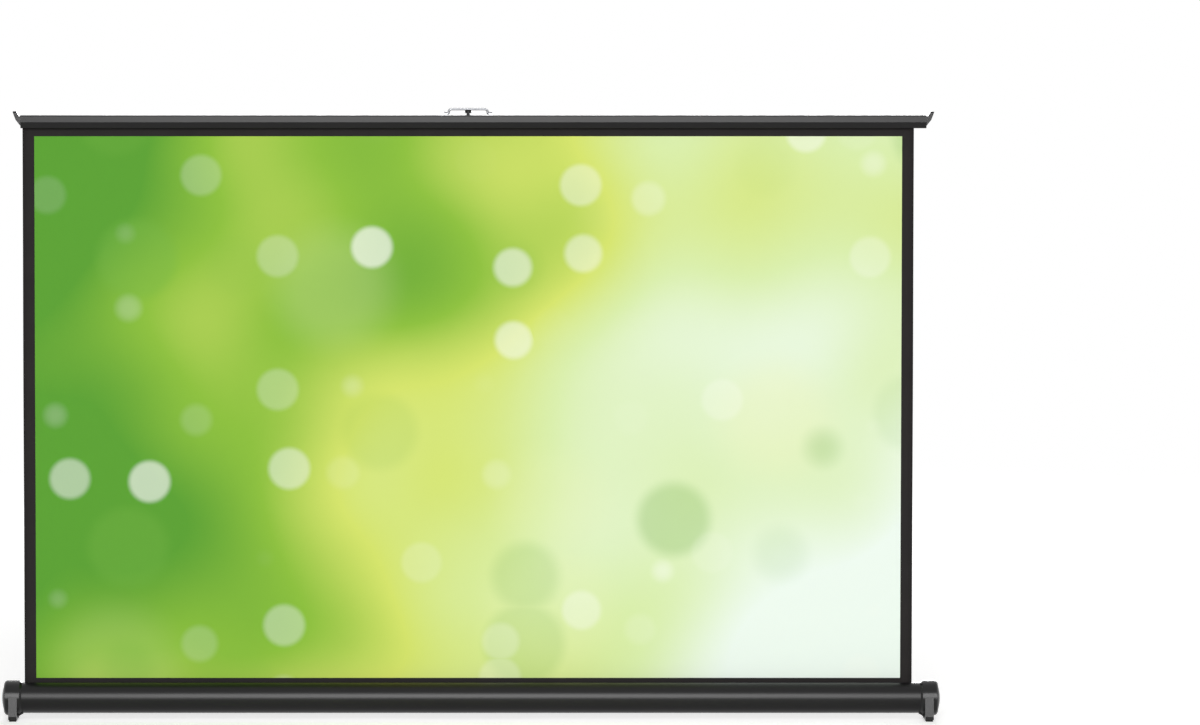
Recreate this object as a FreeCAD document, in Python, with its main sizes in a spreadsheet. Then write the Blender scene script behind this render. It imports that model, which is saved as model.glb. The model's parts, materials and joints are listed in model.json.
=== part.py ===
"""Pull-up tabletop projection screen: a slotted case with feet, a spring roller, a cloth, a top bar with a
handle, and a pair of folding arms behind the cloth. Millimetres and degrees, +Z up, the picture faces -Y,
and the origin lies on the table under the middle of the case."""

import FreeCAD, Part
import math
import os

import Sketcher
from FreeCAD import Placement, Rotation, Vector

DIMENSIONS = [
    # Case
    ("floor_gap", 8.3, "table to the underside of the case tube"),
    ("tube_diameter", 38.0, "outside of the case tube"),
    ("tube_wall", 1.5, "wall of the case tube"),
    ("tube_insert", 4.0, "length of tube inside the body of each end cap"),
    ("slot_width", 3.0, "slot for the cloth in the top of the tube"),
    # End caps, feet and discs
    ("cap_lip", 2.7, "how far the end caps stand out past the tube"),
    ("cap_length", 22.5, "end cap with its disc, without the collar"),
    ("collar_length", 2.5, "tapered collar over the tube"),
    ("collar_tip", 0.4, "thickness of the collar at its thin end"),
    ("collar_root", 1.9, "thickness of the collar at the cap"),
    ("plug_depth", 5.5, "plug inside the end of the tube"),
    ("socket_diameter", 8.0, "blind socket for the roller bearings"),
    ("socket_depth", 11.5, "depth of that socket from the plug's face"),
    ("disc_height", 6.0, "how far the disc stands out of the cap"),
    ("disc_margin", 0.6, "step from the cap's edge to the disc's edge"),
    ("disc_rim", 1.3, "straight edge of the disc"),
    ("disc_bevel", 1.7, "bevel between the edge and the round face"),
    ("disc_bevel_width", 2.4, "that bevel from the edge inward"),
    ("disc_land", 1.4, "flat ring inside the bevel"),
    ("disc_groove", 1.2, "width of the groove between that ring and the dome"),
    ("disc_groove_depth", 0.6, "depth of that groove"),
    ("stub_diameter", 8.0, "stub that holds the disc in the cap"),
    ("stub_length", 3.0, "length of that stub"),
    ("foot_width", 10.6, "foot along the case"),
    ("foot_inset", 9.3, "tip of the disc to the outer face of the foot"),
    ("foot_depth", 49.0, "foot from front to back"),
    ("foot_blend", 5.0, "angle above the middle of the cap at which the foot's faces begin"),
    ("toe_height", 4.0, "upright edge at each end of the foot"),
    ("gusset_length", 6.6, "web between foot and collar, along the case"),
    ("gusset_radius", 9.0, "hollow of that web"),
    ("gusset_depth", 16.0, "that web from front to back"),
    ("pad_thickness", 2.0, "rubber pad under the foot"),
    ("pad_margin", 1.0, "foot's edge to the pad's edge"),
    ("edge_round", 0.8, "rounding of moulded and drawn edges"),
    # Fasteners
    ("screw_diameter", 3.0, "shank of all screws"),
    ("screw_head_diameter", 5.6, "head of all screws"),
    ("screw_head_height", 1.7, "height of the heads"),
    ("head_edge", 0.5, "straight edge of the domed heads of screws and pins"),
    ("recess_span", 3.4, "cross recess in the screws, from end to end"),
    ("recess_slot", 0.8, "width of its two slots"),
    ("recess_depth", 1.1, "its depth from the top of the head"),
    ("cap_screw_inset", 2.0, "cap's inner face to its screw"),
    ("cap_screw_tilt", 31.0, "angle of the cap screws above the middle of the back"),
    ("cap_screw_length", 9.0, "length of the cap screws under the head"),
    ("bracket_screw_spacing", 40.0, "between the two screws of each bracket"),
    # Roller and spring
    ("roller_diameter", 15.0, "outside of the roller tube"),
    ("roller_wall", 0.8, "wall of the roller tube"),
    ("roller_margin", 2.0, "roller past each edge of the cloth"),
    ("roller_plug_depth", 15.0, "plugs in the ends of the roller"),
    ("roller_plug_flange", 1.0, "flange of those plugs"),
    ("gudgeon_diameter", 5.0, "gudgeon pin and spring arbor"),
    ("bush_length", 8.0, "bearing bush and arbor socket in the end caps"),
    ("spring_wire", 1.2, "wire of the torsion spring"),
    ("spring_diameter", 11.0, "outside of the torsion spring"),
    ("spring_pitch", 6.0, "rise of the torsion spring in one turn"),
    ("spring_turns", 24, "turns of the torsion spring"),
    ("spring_seat", 12.0, "length of spring round the plug's nose, and round the anchor"),
    ("anchor_length", 16.0, "anchor that holds the spring on the arbor"),
    # Cloth
    ("picture_width", 1074.0, "white picture area, 50 inch at 16 to 10"),
    ("picture_height", 673.0, "height of the picture area"),
    ("side_border", 14.5, "black border at each side"),
    ("top_border", 10.0, "black border below the top bar"),
    ("bottom_border", 4.9, "black border above the case tube"),
    ("cloth_thickness", 0.4, "coated cloth"),
    ("wrap_gap", 0.1, "between the roller and the turns on it"),
    ("screen_shift", -3.5, "middle of the cloth from the middle of the case"),
    # Top bar
    ("bar_depth", 18.0, "top bar from front to back"),
    ("bar_round", 7.0, "rounding of the bar's upper edge at the back"),
    ("bar_nose", 2.0, "rounding of the bar's upper edge at the front"),
    ("bar_waist", 7.5, "widest part of the bar's front above its lower edge"),
    ("bar_slant", 1.6, "how far the front is drawn in above that part"),
    ("bar_taper", 2.5, "how far the front is drawn in below that part"),
    ("bar_wall", 1.4, "wall of the top bar"),
    ("hollow_side", 0.8, "straight side of the bar's hollow"),
    ("bar_left_margin", 2.0, "bar past the left edge of the cloth"),
    ("bar_right_margin", 15.0, "bar past the right edge of the cloth"),
    ("hem_rod_diameter", 5.0, "rod on the upper edge of the cloth"),
    ("hem_channel_diameter", 5.4, "channel in the bar for that rod"),
    ("hem_slot", 1.4, "slot from the channel down to the cloth"),
    ("hem_grip", 0.6, "slit in the rod that holds the cloth"),
    ("bar_cap_length", 10.0, "bar cap outside the bar"),
    ("bar_cap_neck", 3.0, "lower edge of the cap above the lower edge of the bar"),
    ("bar_cap_lean", 4.0, "how far the cap's lip leans out"),
    ("bar_cap_chin", 5.5, "lower end of that lip below the top of the bar"),
    ("bar_cap_rise", 5.0, "lip above the top of the bar"),
    ("bar_cap_lip", 5.0, "length of the lip's top"),
    ("bar_cap_shoulder", 2.0, "step between the bar and the lip"),
    ("bar_cap_step", 0.8, "that step below the top of the bar"),
    ("bar_cap_plug", 12.0, "tongue of the cap inside the bar"),
    ("bar_cap_corner", 3.0, "rounding of the lip's corners"),
    # Handle
    ("handle_width", 51.0, "handle bow across its legs"),
    ("handle_rise", 9.0, "top of the bow above the bar"),
    ("handle_wire", 2.8, "wire of the bow"),
    ("handle_bend", 1.6, "radius of the bow's lower corners"),
    ("handle_corner", 3.6, "radius of the bow's upper corners"),
    ("lug_width", 3.5, "lug along the bar"),
    ("lug_depth", 4.6, "lug from front to back"),
    ("lug_axis", 2.1, "bow's axis above the bar"),
    ("lug_play", 0.4, "between the bow's lower corner and the lug"),
    ("lug_end_cover", 1.0, "lug past the end of the bow's wire"),
    # Arms
    ("arm_angle", 28.0, "arms from upright, screen raised"),
    ("arm_width", 10.0, "arm across"),
    ("arm_thickness", 3.0, "arm from front to back"),
    ("pivot_spacing", 82.0, "between the two pivots on each bracket"),
    ("pin_diameter", 5.0, "pivot and elbow pins"),
    ("pin_head_diameter", 7.5, "heads of those pins"),
    ("pin_head_height", 1.6, "height of those heads"),
    ("spacer_diameter", 10.0, "spacers, washers and clips on the pins"),
    ("elbow_washer", 1.0, "room for the washer between the arms at the elbow"),
    ("clip_thickness", 1.2, "clip on the front end of the elbow pin"),
    ("arm_gap", 1.0, "lower bracket to the upper arms"),
    # Brackets
    ("lower_bracket_stand", 3.5, "lower bracket behind the case tube"),
    ("lower_bracket_height", 18.0, "height of the lower bracket"),
    ("bracket_end", 8.0, "bracket past its pivots"),
    ("bracket_plate", 2.5, "plate of the upper bracket"),
    ("bracket_corner", 1.6, "rounding of the upper bracket's corners"),
    ("bracket_screw_drop", 3.5, "upper bracket's screws below its pivots"),
    ("bracket_bite", 4.0, "screw length inside the top bar"),
    # Release button
    ("guide_width", 12.0, "guide of the plunger along the bar"),
    ("guide_depth", 9.0, "guide behind the bracket plate"),
    ("guide_height", 12.0, "height of the guide"),
    ("plunger_diameter", 4.0, "plunger of the release button"),
    ("button_diameter", 8.0, "release button"),
    ("button_height", 4.0, "height of the release button"),
    ("button_travel", 4.0, "how far the button goes down"),
    ("plunger_reach", 3.0, "plunger below the guide, button released"),
    ("tip_diameter", 7.0, "bright tip under the plunger"),
    ("tip_height", 5.5, "height of that tip"),
    # Clearances
    ("fit_clearance", 0.1, "round each plugged-in piece"),
    ("press_clearance", 0.02, "round each pressed-in piece"),
    ("run_clearance", 0.05, "round each turning or sliding piece"),
    ("face_clearance", 0.05, "between faces that turn on each other"),
    ("coil_clearance", 0.3, "inside the turns of the torsion spring"),
    ("stop_clearance", 0.5, "left when a travel ends"),
]

doc = FreeCAD.newDocument("tabletop_screen")
sheet = doc.addObject("Spreadsheet::Sheet", "dims")
for row, (alias, number, meaning) in enumerate(DIMENSIONS, start=1):
    sheet.set(f"A{row}", alias)
    sheet.set(f"B{row}", str(number))
    sheet.set(f"C{row}", meaning)
    sheet.setAlias(f"B{row}", alias)
doc.recompute()

# Places worked out from the driving dimensions, as expressions over the sheet
AXIS_Z = "(dims.floor_gap + dims.tube_diameter / 2)"
TUBE_R = "(dims.tube_diameter / 2)"
TUBE_BORE_R = f"({TUBE_R} - dims.tube_wall)"
CAP_R = f"({TUBE_R} + dims.cap_lip)"
CLOTH_HALF = "(dims.picture_width / 2 + dims.side_border)"
ROLLER_REACH = f"({CLOTH_HALF} + abs(dims.screen_shift) + dims.roller_margin + dims.roller_plug_flange)"
PLUG_START = f"({ROLLER_REACH} + dims.stop_clearance)"
TUBE_END = f"({PLUG_START} + dims.plug_depth)"
SEAT_END = f"({TUBE_END} + dims.fit_clearance)"
CAP_START = f"({TUBE_END} - dims.tube_insert)"
CASE_END = f"({CAP_START} + dims.cap_length)"
CAP_FACE = f"({CASE_END} - dims.disc_height)"
PLUG_R = f"({TUBE_BORE_R} - dims.fit_clearance)"
SEAT_R = f"({TUBE_R} + dims.fit_clearance)"
COLLAR_START = f"({CAP_START} - dims.collar_length)"
SOCKET_END = f"({PLUG_START} + dims.socket_depth)"
FOOT_OUTER = f"({CASE_END} - dims.foot_inset)"
FOOT_INNER = f"({FOOT_OUTER} - dims.foot_width)"
FOOT_DROP = f"({AXIS_Z} - dims.pad_thickness)"
CAP_SCREW_X = f"({CAP_START} + dims.cap_screw_inset)"
SCREW_R = "(dims.screw_diameter / 2)"
SCREW_HOLE_R = f"({SCREW_R} + dims.press_clearance)"
SCREW_HEAD_R = "(dims.screw_head_diameter / 2)"

ROLLER_R = "(dims.roller_diameter / 2)"
ROLLER_BORE_R = f"({ROLLER_R} - dims.roller_wall)"
WRAP_IN_R = f"({ROLLER_R} + dims.wrap_gap)"
WRAP_OUT_R = f"({WRAP_IN_R} + dims.cloth_thickness)"
CLOTH_Y = f"({WRAP_IN_R} + dims.cloth_thickness / 2)"
CLOTH_LEFT = f"(dims.screen_shift - {CLOTH_HALF})"
CLOTH_RIGHT = f"(dims.screen_shift + {CLOTH_HALF})"
ROLLER_LEFT = f"({CLOTH_LEFT} - dims.roller_margin)"
ROLLER_RIGHT = f"({CLOTH_RIGHT} + dims.roller_margin)"
GUDGEON_R = "(dims.gudgeon_diameter / 2)"
SPRING_END = (
    f"({ROLLER_RIGHT} - dims.roller_plug_depth - dims.spring_wire / 2 - dims.face_clearance)"
)
SPRING_START = f"({SPRING_END} - dims.spring_pitch * dims.spring_turns)"
SPRING_BORE_R = "(dims.spring_diameter / 2 - dims.spring_wire)"
SPRING_SEAT_R = f"({SPRING_BORE_R} - dims.coil_clearance)"
ANCHOR_END = f"({SPRING_START} + dims.spring_seat)"
ARBOR_LEFT = f"({ANCHOR_END} - dims.anchor_length)"

BAR_BOTTOM = (
    f"({AXIS_Z} + {TUBE_R} + dims.bottom_border + dims.picture_height + dims.top_border)"
)
HEM_RISE = "(dims.bar_wall + dims.hem_channel_diameter / 2)"
CAVITY_BASE = f"({HEM_RISE} + dims.hem_channel_diameter / 2 + dims.bar_wall)"
BAR_HEIGHT = f"({CAVITY_BASE} + dims.hollow_side + dims.bar_round)"
BAR_TOP = f"({BAR_BOTTOM} + {BAR_HEIGHT})"
BAR_LEFT = f"({CLOTH_LEFT} - dims.bar_left_margin)"
BAR_RIGHT = f"({CLOTH_RIGHT} + dims.bar_right_margin)"
BAR_BACK = f"({CLOTH_Y} + dims.bar_depth / 2)"
HANDLE_Z = f"({BAR_TOP} + dims.lug_axis)"
LEG_X = "(dims.handle_width / 2 - dims.handle_wire / 2)"
LUG_X = f"({LEG_X} + dims.handle_bend + dims.lug_play)"
WIRE_END_X = f"({LUG_X} + dims.lug_width - dims.lug_end_cover)"

PIVOT_HALF = "(dims.pivot_spacing / 2)"
PIVOT_TOP = f"({BAR_BOTTOM} + {BAR_HEIGHT} / 2)"
ARM_LENGTH = f"(({PIVOT_TOP} - {AXIS_Z}) / (2 * cos(dims.arm_angle)))"
ELBOW_X = f"(dims.screen_shift + {PIVOT_HALF} + {ARM_LENGTH} * sin(dims.arm_angle))"
ELBOW_Z = f"(({PIVOT_TOP} + {AXIS_Z}) / 2)"
PIVOT_X = f"(dims.screen_shift + {PIVOT_HALF})"
PIN_R = "(dims.pin_diameter / 2)"
PIN_HEAD_R = "(dims.pin_head_diameter / 2)"
SPACER_R = "(dims.spacer_diameter / 2)"
SPACER_BORE_R = f"({PIN_R} + dims.press_clearance)"
ARM_BORE_R = f"({PIN_R} + dims.run_clearance)"
LOWER_FACE_Y = f"({TUBE_R} + dims.lower_bracket_stand)"
UPPER_ARM_Y = f"({LOWER_FACE_Y} + dims.arm_gap)"
LOWER_ARM_Y = f"({UPPER_ARM_Y} + dims.arm_thickness + dims.elbow_washer)"
PLATE_BACK = f"({BAR_BACK} + dims.bracket_plate)"
GUIDE_Y = f"({PLATE_BACK} + dims.guide_depth / 2)"
GUIDE_TOP = f"({PIVOT_TOP} + dims.guide_height / 2)"
GUIDE_BOTTOM = f"({PIVOT_TOP} - dims.guide_height / 2)"
BUTTON_BASE = f"({GUIDE_TOP} + dims.button_travel + dims.stop_clearance)"
PLUNGER_R = "(dims.plunger_diameter / 2)"
PLUNGER_END = f"({GUIDE_BOTTOM} - dims.plunger_reach)"

# How near an edge's middle comes to the face by which the edge is found
NEAR = 0.1


def value(text):
    """The number that an expression over the sheet gives."""
    return float(sheet.evalExpression(text))


def minus(text):
    return f"-({text})"


# Sketches and features


def new_body(label, x="0", y="0", z="0"):
    body = doc.addObject("PartDesign::Body", label)
    for letter, text in zip("xyz", (x, y, z)):
        if text != "0":
            body.setExpression("Placement.Base." + letter, text)
    return body


def new_sketch(body, plane, offset=None):
    """A sketch on one of the body's own planes, moved along the plane's normal by an offset."""
    sketch = body.newObject("Sketcher::SketchObject", body.Name + "_sketch")
    roles = {feature.Role: feature for feature in body.Origin.OriginFeatures}
    sketch.AttachmentSupport = [(roles[plane + "_Plane"], "")]
    sketch.MapMode = "FlatFace"
    if offset:
        sketch.setExpression("AttachmentOffset.Base.z", offset)
    return sketch


def turn_about_case(thing, angle):
    """Turns a body up about the long axis of the case, by an angle of the sheet."""
    thing.Placement = Placement(thing.Placement.Base, Rotation(Vector(1, 0, 0), value(angle)))
    thing.setExpression("Placement.Rotation.Angle", angle)


def tilted_sketch(body, angle, out="0"):
    """A sketch on the body's XZ plane turned up about the X axis, and moved out along its own normal."""
    sketch = new_sketch(body, "XZ")
    sketch.AttachmentOffset = Placement(Vector(), Rotation(Vector(1, 0, 0), value(angle)))
    sketch.setExpression("AttachmentOffset.Rotation.Angle", angle)
    if out != "0":
        sketch.setExpression("AttachmentOffset.Base.y", f"{out} * sin({angle})")
        sketch.setExpression("AttachmentOffset.Base.z", f"-{out} * cos({angle})")
    return sketch


def bind(sketch, constraint, text):
    row = sketch.addConstraint(constraint)
    sketch.setExpression(f"Constraints[{row}]", text)


def fix_point(sketch, item, end, place):
    """Ties one end of a line or arc, or a centre, to a place given by two expressions."""
    for axis, kind, text in ((-2, "DistanceX", place[0]), (-1, "DistanceY", place[1])):
        if text == "0":
            sketch.addConstraint(Sketcher.Constraint("PointOnObject", item, end, axis))
        else:
            bind(sketch, Sketcher.Constraint(kind, -1, 1, item, end, value(text)), text)


def draw_circle(sketch, place, radius):
    centre = Vector(value(place[0]), value(place[1]), 0)
    item = sketch.addGeometry(Part.Circle(centre, Vector(0, 0, 1), value(radius)), False)
    fix_point(sketch, item, 3, place)
    bind(sketch, Sketcher.Constraint("Radius", item, value(radius)), radius)


def arc_between(start, end, radius):
    """The arc of under a half circle that turns left from start to end."""
    chord = end - start
    to_centre = Vector(-chord.y, chord.x, 0).normalize()
    height = math.sqrt(radius**2 - (chord.Length / 2) ** 2)
    centre = (start + end) * 0.5 + to_centre * height
    angles = [math.atan2(point.y - centre.y, point.x - centre.x) for point in (start, end)]
    return Part.ArcOfCircle(Part.Circle(centre, Vector(0, 0, 1), radius), *angles)


def draw_outline(sketch, corners, arcs=None, closed=True):
    """Lines from corner to corner. arcs gives, for the stretch after a corner, a radius and "left" or
    "right" for the way it turns."""
    arcs = arcs or {}
    points = [Vector(value(x), value(y), 0) for x, y in corners]
    stretches = len(points) if closed else len(points) - 1
    items = []
    for i in range(stretches):
        start, end = points[i], points[(i + 1) % len(points)]
        radius, turn = arcs.get(i, (None, None))
        if radius is None:
            items.append((sketch.addGeometry(Part.LineSegment(start, end), False), 1, 2))
        elif turn == "left":
            items.append((sketch.addGeometry(arc_between(start, end, value(radius)), False), 1, 2))
        else:
            items.append((sketch.addGeometry(arc_between(end, start, value(radius)), False), 2, 1))
        if radius is not None:
            bind(sketch, Sketcher.Constraint("Radius", items[i][0], value(radius)), radius)
    joints = stretches if closed else stretches - 1
    for i in range(joints):
        item, _, tail = items[i]
        following, head, _ = items[(i + 1) % stretches]
        sketch.addConstraint(Sketcher.Constraint("Coincident", item, tail, following, head))
    for (item, head, _), corner in zip(items, corners):
        fix_point(sketch, item, head, corner)
    if not closed:
        fix_point(sketch, items[-1][0], items[-1][2], corners[-1])


def draw_box(sketch, left, low, right, high):
    draw_outline(sketch, [(left, low), (right, low), (right, high), (left, high)])


def draw_cross(sketch, reach, half):
    """Two crossing slots about the origin, with their half length and half width."""
    draw_outline(
        sketch,
        [
            (half, half),
            (half, reach),
            (minus(half), reach),
            (minus(half), half),
            (minus(reach), half),
            (minus(reach), minus(half)),
            (minus(half), minus(half)),
            (minus(half), minus(reach)),
            (half, minus(reach)),
            (half, minus(half)),
            (reach, minus(half)),
            (reach, half),
        ],
    )


def extrude(body, kind, sketch, length, onward):
    """A Pad or Pocket of the sketch, along the sketch's normal when onward is true."""
    feature = body.newObject("PartDesign::" + kind, body.Name + "_" + kind.lower())
    feature.Profile = sketch
    feature.setExpression("Length", length)
    feature.Reversed = onward if kind == "Pocket" else not onward
    return feature


def spin(body, kind, sketch, axis):
    """A Revolution or Groove of the sketch round one of its own axes."""
    feature = body.newObject("PartDesign::" + kind, body.Name + "_" + kind.lower())
    feature.Profile = sketch
    feature.ReferenceAxis = (sketch, [axis])
    feature.Angle = 360
    return feature


def round_edges(body, radius, chosen):
    doc.recompute()
    tip = body.Tip
    names = [f"Edge{i}" for i, edge in enumerate(tip.Shape.Edges, start=1) if chosen(edge)]
    fillet = body.newObject("PartDesign::Fillet", body.Name + "_fillet")
    fillet.Base = (tip, names)
    fillet.setExpression("Radius", radius)


def runs_along(edge, axis):
    """Whether an edge is straight and parallel to an axis."""
    if edge.Curve.TypeId != "Part::GeomLine":
        return False
    direction = edge.Vertexes[-1].Point - edge.Vertexes[0].Point
    return direction.cross(axis).Length < 1e-6 * direction.Length


def turned(label, axis, profile, x="0", y="0", z="0", arcs=None):
    """A turned piece: its profile is given as (place along the axis, radius)."""
    body = new_body(label, x, y, z)
    sketch = new_sketch(body, "XY" if axis == "Y" else "XZ")
    corners = profile if axis == "X" else [(radius, along) for along, radius in profile]
    draw_outline(sketch, corners, arcs)
    spin(body, "Revolution", sketch, "H_Axis" if axis == "X" else "V_Axis")
    return body


def ring(label, axis, start, end, inner, outer, x="0", y="0", z="0"):
    profile = [(start, inner), (end, inner), (end, outer), (start, outer)]
    return turned(label, axis, profile, x, y, z)


def rod(label, axis, start, end, radius, x="0", y="0", z="0"):
    profile = [(start, "0"), (end, "0"), (end, radius), (start, radius)]
    return turned(label, axis, profile, x, y, z)


def mirrored(label, source, plane_x="0"):
    """The same piece on the other side of an upright plane across the case."""
    copy = doc.addObject("Part::Mirroring", label)
    copy.Source = source
    copy.Normal = Vector(1, 0, 0)
    if plane_x != "0":
        copy.setExpression("Base.x", plane_x)
    return copy


def group(label, *pieces):
    several = doc.addObject("Part::Compound", label)
    several.Links = list(pieces)
    return several


def dome_radius(rise, reach):
    """Radius of a dome of this height over a circle of this radius."""
    return f"({rise} ^ 2 + {reach} ^ 2) / (2 * {rise})"


def screw(label, x, y, z, length):
    """A pan head screw with a cross recess, driven forward, with the underside of its head at y."""
    profile = [
        ("dims.screw_head_height", "0"),
        ("dims.head_edge", SCREW_HEAD_R),
        ("0", SCREW_HEAD_R),
        ("0", SCREW_R),
        (minus(length), SCREW_R),
        (minus(length), "0"),
    ]
    dome = dome_radius("(dims.screw_head_height - dims.head_edge)", SCREW_HEAD_R)
    body = turned(label, "Y", profile, x, y, z, {0: (dome, "right")})
    recess = new_sketch(body, "XZ", "-dims.screw_head_height")
    draw_cross(recess, "(dims.recess_span / 2)", "(dims.recess_slot / 2)")
    extrude(body, "Pocket", recess, "dims.recess_depth", True)
    return body


# Case


def case_tube():
    body = new_body("case_tube", x=minus(TUBE_END), z=AXIS_Z)
    section = new_sketch(body, "YZ")
    draw_circle(section, ("0", "0"), TUBE_R)
    draw_circle(section, ("0", "0"), TUBE_BORE_R)
    extrude(body, "Pad", section, f"2 * {TUBE_END}", True)
    slot = new_sketch(body, "YZ")
    front, back = f"{CLOTH_Y} - dims.slot_width / 2", f"{CLOTH_Y} + dims.slot_width / 2"
    draw_box(slot, front, "0", back, TUBE_R)
    extrude(body, "Pocket", slot, f"2 * {TUBE_END}", True)
    middle, apart = f"({TUBE_END} + dims.screen_shift)", "dims.bracket_screw_spacing / 2"
    bracket_holes = new_sketch(body, "XZ")
    cap_holes = tilted_sketch(body, "dims.cap_screw_tilt")
    for holes, centre, reach in (
        (bracket_holes, middle, apart),
        (cap_holes, TUBE_END, CAP_SCREW_X),
    ):
        draw_circle(holes, (f"{centre} - {reach}", "0"), SCREW_HOLE_R)
        draw_circle(holes, (f"{centre} + {reach}", "0"), SCREW_HOLE_R)
        extrude(body, "Pocket", holes, TUBE_R, False)
    return body


def right_end_cap():
    """Cap, collar, foot and web in one moulding, with the tube's seat and the roller's socket cut in."""
    body = new_body("right_end_cap", z=AXIS_Z)
    outside = new_sketch(body, "XZ")
    draw_outline(
        outside,
        [
            (PLUG_START, "0"),
            (CAP_FACE, "0"),
            (CAP_FACE, CAP_R),
            (CAP_START, CAP_R),
            (CAP_START, f"{SEAT_R} + dims.collar_root"),
            (COLLAR_START, f"{SEAT_R} + dims.collar_tip"),
            (COLLAR_START, PLUG_R),
            (PLUG_START, PLUG_R),
        ],
    )
    spin(body, "Revolution", outside, "H_Axis")
    foot = new_sketch(body, "YZ", FOOT_INNER)
    half = "(dims.foot_depth / 2)"
    toe = f"-({FOOT_DROP} - dims.toe_height)"
    blend_y = f"({CAP_R} * cos(dims.foot_blend))"
    blend_z = f"({CAP_R} * sin(dims.foot_blend))"
    draw_outline(
        foot,
        [
            (minus(blend_y), blend_z),
            (minus(half), toe),
            (minus(half), minus(FOOT_DROP)),
            (half, minus(FOOT_DROP)),
            (half, toe),
            (blend_y, blend_z),
        ],
    )
    extrude(body, "Pad", foot, "dims.foot_width", True)
    web = new_sketch(body, "XZ", "-dims.gusset_depth / 2")
    web_end = f"{FOOT_INNER} - dims.gusset_length"
    draw_outline(
        web,
        [
            (FOOT_INNER, minus(FOOT_DROP)),
            (FOOT_INNER, minus(TUBE_BORE_R)),
            (web_end, minus(TUBE_BORE_R)),
            (web_end, f"-({SEAT_R} + dims.collar_tip)"),
        ],
        {3: ("dims.gusset_radius", "right")},
    )
    extrude(body, "Pad", web, "dims.gusset_depth", True)
    seat = new_sketch(body, "XZ")
    draw_box(seat, f"{COLLAR_START} - dims.gusset_length", PLUG_R, SEAT_END, SEAT_R)
    spin(body, "Groove", seat, "H_Axis")
    socket = new_sketch(body, "XZ")
    draw_box(socket, PLUG_START, "0", SOCKET_END, "dims.socket_diameter / 2")
    spin(body, "Groove", socket, "H_Axis")
    stub_hole = new_sketch(body, "XZ")
    stub_end = f"{CAP_FACE} - dims.stub_length - dims.fit_clearance"
    draw_box(stub_hole, stub_end, "0", CAP_FACE, "dims.stub_diameter / 2 + dims.fit_clearance")
    spin(body, "Groove", stub_hole, "H_Axis")
    hole = tilted_sketch(body, "dims.cap_screw_tilt", f"({CAP_R} - dims.cap_screw_length)")
    draw_circle(hole, (CAP_SCREW_X, "0"), SCREW_HOLE_R)
    extrude(body, "Pocket", hole, "dims.cap_screw_length", False)
    foot_low = -value(FOOT_DROP) + value("dims.toe_height") / 2
    across = Vector(0, 1, 0)
    round_edges(
        body,
        "dims.edge_round",
        lambda edge: runs_along(edge, across)
        and edge.CenterOfMass.z < foot_low
        and edge.CenterOfMass.x > value(FOOT_OUTER) - NEAR,
    )
    return body


def right_end_disc():
    """Domed cover with a bevelled edge and a ring groove, held by a stub in the cap."""
    rim = f"({CAP_FACE} + dims.disc_rim)"
    face = f"({rim} + dims.disc_bevel)"
    dome = f"({CASE_END} - {face})"
    disc_r = f"({CAP_R} - dims.disc_margin)"
    face_r = f"({disc_r} - dims.disc_bevel_width)"
    groove_r = f"({face_r} - dims.disc_land)"
    dome_r = f"({groove_r} - dims.disc_groove)"
    groove_floor = f"({face} - dims.disc_groove_depth)"
    stub_r = "(dims.stub_diameter / 2)"
    profile = [
        (f"{CAP_FACE} - dims.stub_length", "0"),
        (CASE_END, "0"),
        (face, dome_r),
        (groove_floor, dome_r),
        (groove_floor, groove_r),
        (face, groove_r),
        (face, face_r),
        (rim, disc_r),
        (CAP_FACE, disc_r),
        (CAP_FACE, stub_r),
        (f"{CAP_FACE} - dims.stub_length", stub_r),
    ]
    arcs = {1: (dome_radius(dome, dome_r), "left")}
    return turned("right_end_disc", "X", profile, z=AXIS_Z, arcs=arcs)


def right_foot_pad():
    inner = f"{FOOT_INNER} + dims.pad_margin"
    body = new_body("right_foot_pad")
    outline = new_sketch(body, "XY")
    half = "(dims.foot_depth / 2 - dims.pad_margin)"
    draw_box(outline, inner, minus(half), f"{FOOT_OUTER} - dims.pad_margin", half)
    extrude(body, "Pad", outline, "dims.pad_thickness", True)
    upright = Vector(0, 0, 1)
    round_edges(body, "dims.edge_round", lambda edge: runs_along(edge, upright))
    return body


def lower_bracket():
    """Saddle behind the tube that carries the two lower pivots."""
    height = "dims.lower_bracket_height"
    half = f"({PIVOT_HALF} + dims.bracket_end)"
    body = new_body("lower_bracket", x=f"dims.screen_shift - {half}", z=AXIS_Z)
    section = new_sketch(body, "YZ")
    edge_y = f"sqrt({TUBE_R} ^ 2 - ({height} / 2) ^ 2)"
    draw_outline(
        section,
        [
            (edge_y, f"-{height} / 2"),
            (LOWER_FACE_Y, f"-{height} / 2"),
            (LOWER_FACE_Y, f"{height} / 2"),
            (edge_y, f"{height} / 2"),
        ],
        {3: (TUBE_R, "right")},
    )
    extrude(body, "Pad", section, f"2 * {half}", True)
    holes = new_sketch(body, "XZ")
    for place in (f"{half} - {PIVOT_HALF}", f"{half} + {PIVOT_HALF}"):
        draw_circle(holes, (place, "0"), SPACER_BORE_R)
    apart = "dims.bracket_screw_spacing / 2"
    for place in (f"{half} - {apart}", f"{half} + {apart}"):
        draw_circle(holes, (place, "0"), SCREW_HOLE_R)
    extrude(body, "Pocket", holes, LOWER_FACE_Y, False)
    upright = Vector(0, 0, 1)
    back = value(LOWER_FACE_Y) - NEAR
    round_edges(
        body,
        "dims.edge_round",
        lambda edge: runs_along(edge, upright) and edge.CenterOfMass.y > back,
    )
    return body


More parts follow.
